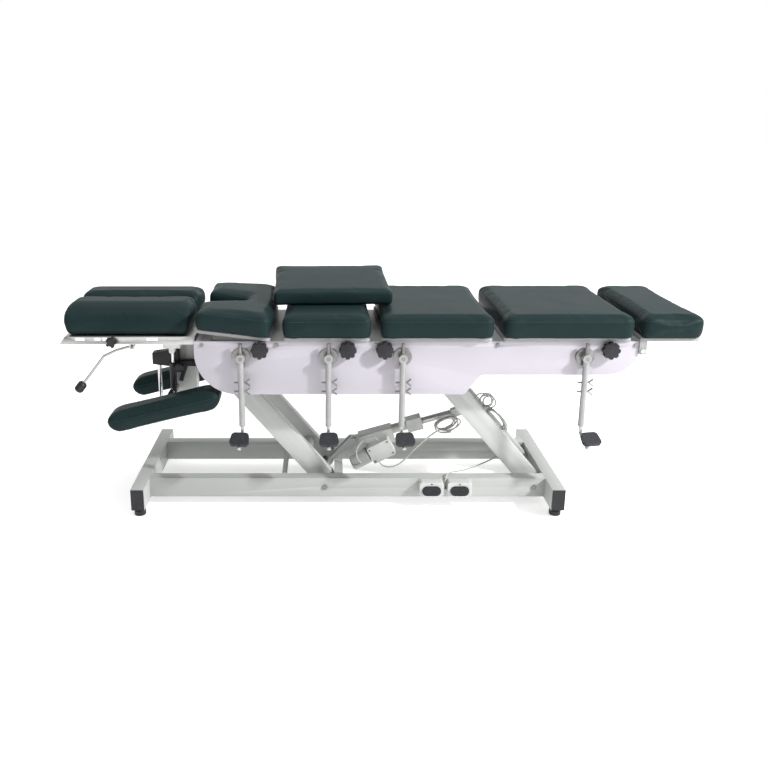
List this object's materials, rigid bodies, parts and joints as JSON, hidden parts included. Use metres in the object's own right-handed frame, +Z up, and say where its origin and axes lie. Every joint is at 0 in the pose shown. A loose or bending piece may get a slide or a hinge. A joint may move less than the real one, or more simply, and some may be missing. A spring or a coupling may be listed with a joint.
{
  "type": "chiropractic table",
  "caption": "Powered height-adjustable chiropractic table with drop sections, tilting head rest, armrests and foot switches.",
  "frame": {"origin": "on the floor under the centre of the bounding box", "axes": "+X to the foot end, +Y to the rear long side, +Z up"},
  "size_m": [2.108, 0.6066, 0.777],
  "materials": {
    "black_plastic": "matte",
    "black_steel": "satin",
    "bright_steel": "polished",
    "dark_rubber": "ribbed",
    "grey_cable": "matte",
    "grey_plastic": "matte",
    "grey_steel": "satin",
    "upholstery": "grained",
    "white_steel": "satin"
  },
  "bodies": {
    "base": {"base_frame": "white_steel", "base_cross_members": "white_steel", "base_end_caps": "black_plastic", "levelling_feet": "black_plastic", "lower_pivot_bolts": "bright_steel", "foot_switch_housings": "grey_plastic", "switch_lead": "grey_cable"},
    "switch_up": {"foot_switch_pad_up": "dark_rubber"},
    "switch_down": {"foot_switch_pad_down": "dark_rubber"},
    "head_arm": {"head_lift_arm": "white_steel"},
    "foot_arm": {"foot_lift_arm": "white_steel", "arm_coil": "grey_cable"},
    "actuator": {"actuator_body": "grey_plastic", "control_box": "grey_plastic", "motor_cable": "grey_cable", "actuator_lead": "grey_cable", "rod_hank": "grey_cable"},
    "actuator_inner": {"actuator_rod": "grey_steel"},
    "top": {"upper_frame": "white_steel", "upper_pivot_lugs": "white_steel", "side_panel_front": "white_steel", "side_panel_rear": "white_steel", "lever_flanges": "bright_steel", "panel_bolts": "bright_steel", "head_column": "grey_steel", "armrest_clamp": "black_steel"},
    "chest": {"chest_tray": "grey_steel", "chest_cushion": "upholstery"},
    "abdominal": {"abdominal_tray": "grey_steel", "abdominal_cushion": "upholstery"},
    "pelvic": {"pelvic_tray": "grey_steel", "pelvic_cushion": "upholstery"},
    "leg": {"leg_tray": "grey_steel", "leg_cushion": "upholstery"},
    "foot": {"foot_tray": "grey_steel", "foot_cushion": "upholstery"},
    "wedge": {"loose_pad": "upholstery"},
    "head": {"head_tray": "grey_steel", "head_cushion_front": "upholstery", "head_cushion_rear": "upholstery"},
    "head_release": {"release_lever": "black_plastic"},
    "head_star_knob": {"tray_star_knob": "black_plastic"},
    "gas_cylinder": {"gas_spring_cylinder": "black_steel"},
    "gas_rod": {"gas_spring_rod": "bright_steel"},
    "carrier": {"armrest_carrier": "bright_steel"},
    "armrest_front": {"armrest_pad_front": "upholstery"},
    "armrest_rear": {"armrest_pad_rear": "upholstery"},
    "carrier_knob": {"clamp_knob": "black_plastic"},
    "lever_chest": {"lever_chest": "grey_steel"},
    "pedal_chest": {"pedal_chest": "dark_rubber"},
    "knob_chest": {"drop_knob_chest": "black_plastic"},
    "lever_abdominal": {"lever_abdominal": "grey_steel"},
    "pedal_abdominal": {"pedal_abdominal": "dark_rubber"},
    "knob_abdominal": {"drop_knob_abdominal": "black_plastic"},
    "lever_pelvic": {"lever_pelvic": "grey_steel"},
    "pedal_pelvic": {"pedal_pelvic": "dark_rubber"},
    "knob_pelvic": {"drop_knob_pelvic": "black_plastic"},
    "lever_leg": {"lever_leg": "grey_steel"},
    "pedal_leg": {"pedal_leg": "dark_rubber"},
    "knob_leg": {"drop_knob_leg": "black_plastic"}
  },
  "joints": [
    {"name": "lift", "type": "hinge", "parent": "base", "child": "head_arm", "pos_m": [-0.1772, 0.01631, 0.069], "axis": [0, 1, 0], "range_deg": [-17.5, 15.5]},
    {"name": "foot_arm_pivot", "type": "hinge", "parent": "base", "child": "foot_arm", "pos_m": [0.5544, 0.01631, 0.069], "axis": [0, 1, 0], "range_deg": [-17.5, 15.5], "deforming": ["switch_lead"]},
    {"name": "top_pivot", "type": "hinge", "parent": "head_arm", "child": "top", "pos_m": [-0.55843, 0.01631, 0.51536], "axis": [0, 1, 0], "range_deg": [-15.5, 17.5]},
    {"name": "actuator_pivot", "type": "hinge", "parent": "base", "child": "actuator", "pos_m": [-0.075, 0.01631, 0.173], "axis": [0, 1, 0], "range_deg": [-4.87, 5.49]},
    {"name": "actuator_stroke", "type": "slide", "parent": "actuator", "child": "actuator_inner", "axis": [0.9599, 0, 0.2805], "range_m": [-0.0821, 0.0728]},
    {"name": "switch_up_press", "type": "slide", "parent": "base", "child": "switch_up", "axis": [0, 1, 0], "range_m": [0, 0.003], "stiffness_N_per_m": 600},
    {"name": "switch_down_press", "type": "slide", "parent": "base", "child": "switch_down", "axis": [0, 1, 0], "range_m": [0, 0.003], "stiffness_N_per_m": 600},
    {"name": "chest_drop", "type": "hinge", "parent": "top", "child": "chest", "pos_m": [-0.365, 0.01631, 0.59796], "axis": [0, 1, 0], "range_deg": [-6.9, 0]},
    {"name": "abdominal_drop", "type": "hinge", "parent": "top", "child": "abdominal", "pos_m": [-0.305, 0.01631, 0.59796], "axis": [0, 1, 0], "range_deg": [-3, 0]},
    {"name": "pelvic_drop", "type": "hinge", "parent": "top", "child": "pelvic", "pos_m": [0.0205, 0.01631, 0.59796], "axis": [0, 1, 0], "range_deg": [-2.5, 0]},
    {"name": "leg_drop", "type": "hinge", "parent": "top", "child": "leg", "pos_m": [0.812, 0.01631, 0.59796], "axis": [0, 1, 0], "range_deg": [0, 2.8]},
    {"name": "foot_tilt", "type": "hinge", "parent": "top", "child": "foot", "pos_m": [0.865, 0.01631, 0.57896], "axis": [0, 1, 0], "range_deg": [0, 30]},
    {"name": "wedge_lift", "type": "slide", "parent": "abdominal", "child": "wedge", "axis": [0, 0, 1], "range_m": [0, 0.1]},
    {"name": "head_tilt", "type": "hinge", "parent": "top", "child": "head", "pos_m": [-0.65, 0.01631, 0.58496], "axis": [0, 1, 0], "range_deg": [-12, 4]},
    {"name": "head_release_swing", "type": "hinge", "parent": "head", "child": "head_release", "pos_m": [-0.817, -0.17369, 0.58406], "axis": [0, 1, 0], "range_deg": [-6, 6]},
    {"name": "head_star_turn", "type": "hinge", "parent": "head", "child": "head_star_knob", "pos_m": [-0.88, 0.01631, 0.60252], "axis": [0, 1, 0], "continuous": true},
    {"name": "gas_pivot", "type": "hinge", "parent": "top", "child": "gas_cylinder", "pos_m": [-0.706, -0.06869, 0.38896], "axis": [0, 1, 0], "range_deg": [-1.6, 4.39]},
    {"name": "gas_stroke", "type": "slide", "parent": "gas_cylinder", "child": "gas_rod", "axis": [0.0067, 0, 1], "range_m": [-0.0109, 0.004]},
    {"name": "carrier_height", "type": "slide", "parent": "top", "child": "carrier", "axis": [0, 0, 1], "range_m": [-0.03, 0.01]},
    {"name": "armrest_front_tilt", "type": "hinge", "parent": "carrier", "child": "armrest_front", "pos_m": [-0.76, 0.01631, 0.30546], "axis": [0, 1, 0], "range_deg": [0, 12]},
    {"name": "armrest_rear_tilt", "type": "hinge", "parent": "carrier", "child": "armrest_rear", "pos_m": [-0.76, 0.01631, 0.30546], "axis": [0, 1, 0], "range_deg": [0, 12]},
    {"name": "carrier_knob_turn", "type": "hinge", "parent": "top", "child": "carrier_knob", "pos_m": [-0.681, 0.01631, 0.48179], "axis": [0, 1, 0], "continuous": true},
    {"name": "lever_chest_swing", "type": "hinge", "parent": "top", "child": "lever_chest", "pos_m": [-0.4516, 0.01631, 0.55996], "axis": [0, 1, 0], "range_deg": [-18, 0]},
    {"name": "pedal_chest_height", "type": "slide", "parent": "lever_chest", "child": "pedal_chest", "axis": [0, 0, -1], "range_m": [-0.018, 0.045]},
    {"name": "knob_chest_turn", "type": "hinge", "parent": "top", "child": "knob_chest", "pos_m": [-0.38948, 0.01631, 0.58496], "axis": [0, 1, 0], "continuous": true},
    {"name": "lever_abdominal_swing", "type": "hinge", "parent": "top", "child": "lever_abdominal", "pos_m": [-0.16428, 0.01631, 0.55996], "axis": [0, 1, 0], "range_deg": [0, 18]},
    {"name": "pedal_abdominal_height", "type": "slide", "parent": "lever_abdominal", "child": "pedal_abdominal", "axis": [0, 0, -1], "range_m": [-0.018, 0.045]},
    {"name": "knob_abdominal_turn", "type": "hinge", "parent": "top", "child": "knob_abdominal", "pos_m": [-0.10156, 0.01631, 0.58496], "axis": [0, 1, 0], "continuous": true},
    {"name": "lever_pelvic_swing", "type": "hinge", "parent": "top", "child": "lever_pelvic", "pos_m": [0.079, 0.01631, 0.55996], "axis": [0, 1, 0], "range_deg": [0, 18]},
    {"name": "pedal_pelvic_height", "type": "slide", "parent": "lever_pelvic", "child": "pedal_pelvic", "axis": [0, 0, -1], "range_m": [-0.018, 0.045]},
    {"name": "knob_pelvic_turn", "type": "hinge", "parent": "top", "child": "knob_pelvic", "pos_m": [0.01965, 0.01631, 0.58496], "axis": [0, 1, 0], "continuous": true},
    {"name": "lever_leg_swing", "type": "hinge", "parent": "top", "child": "lever_leg", "pos_m": [0.67701, 0.01631, 0.55996], "axis": [0, 1, 0], "range_deg": [0, 18]},
    {"name": "pedal_leg_height", "type": "slide", "parent": "lever_leg", "child": "pedal_leg", "axis": [0, 0, -1], "range_m": [-0.018, 0.003]},
    {"name": "knob_leg_turn", "type": "hinge", "parent": "top", "child": "knob_leg", "pos_m": [0.75634, 0.01631, 0.58496], "axis": [0, 1, 0], "continuous": true}
  ],
  "couplings": [
    {"joint": "foot_arm_pivot", "follows": "lift", "ratio": 1},
    {"joint": "top_pivot", "follows": "lift", "ratio": -1},
    {"joint": "actuator_pivot", "follows": "lift", "ratio": -0.30781},
    {"joint": "actuator_stroke", "follows": "lift", "m_per_rad": 0.26542},
    {"joint": "gas_pivot", "follows": "head_tilt", "ratio": -0.34943},
    {"joint": "gas_stroke", "follows": "head_tilt", "m_per_rad": 0.04977}
  ]
}
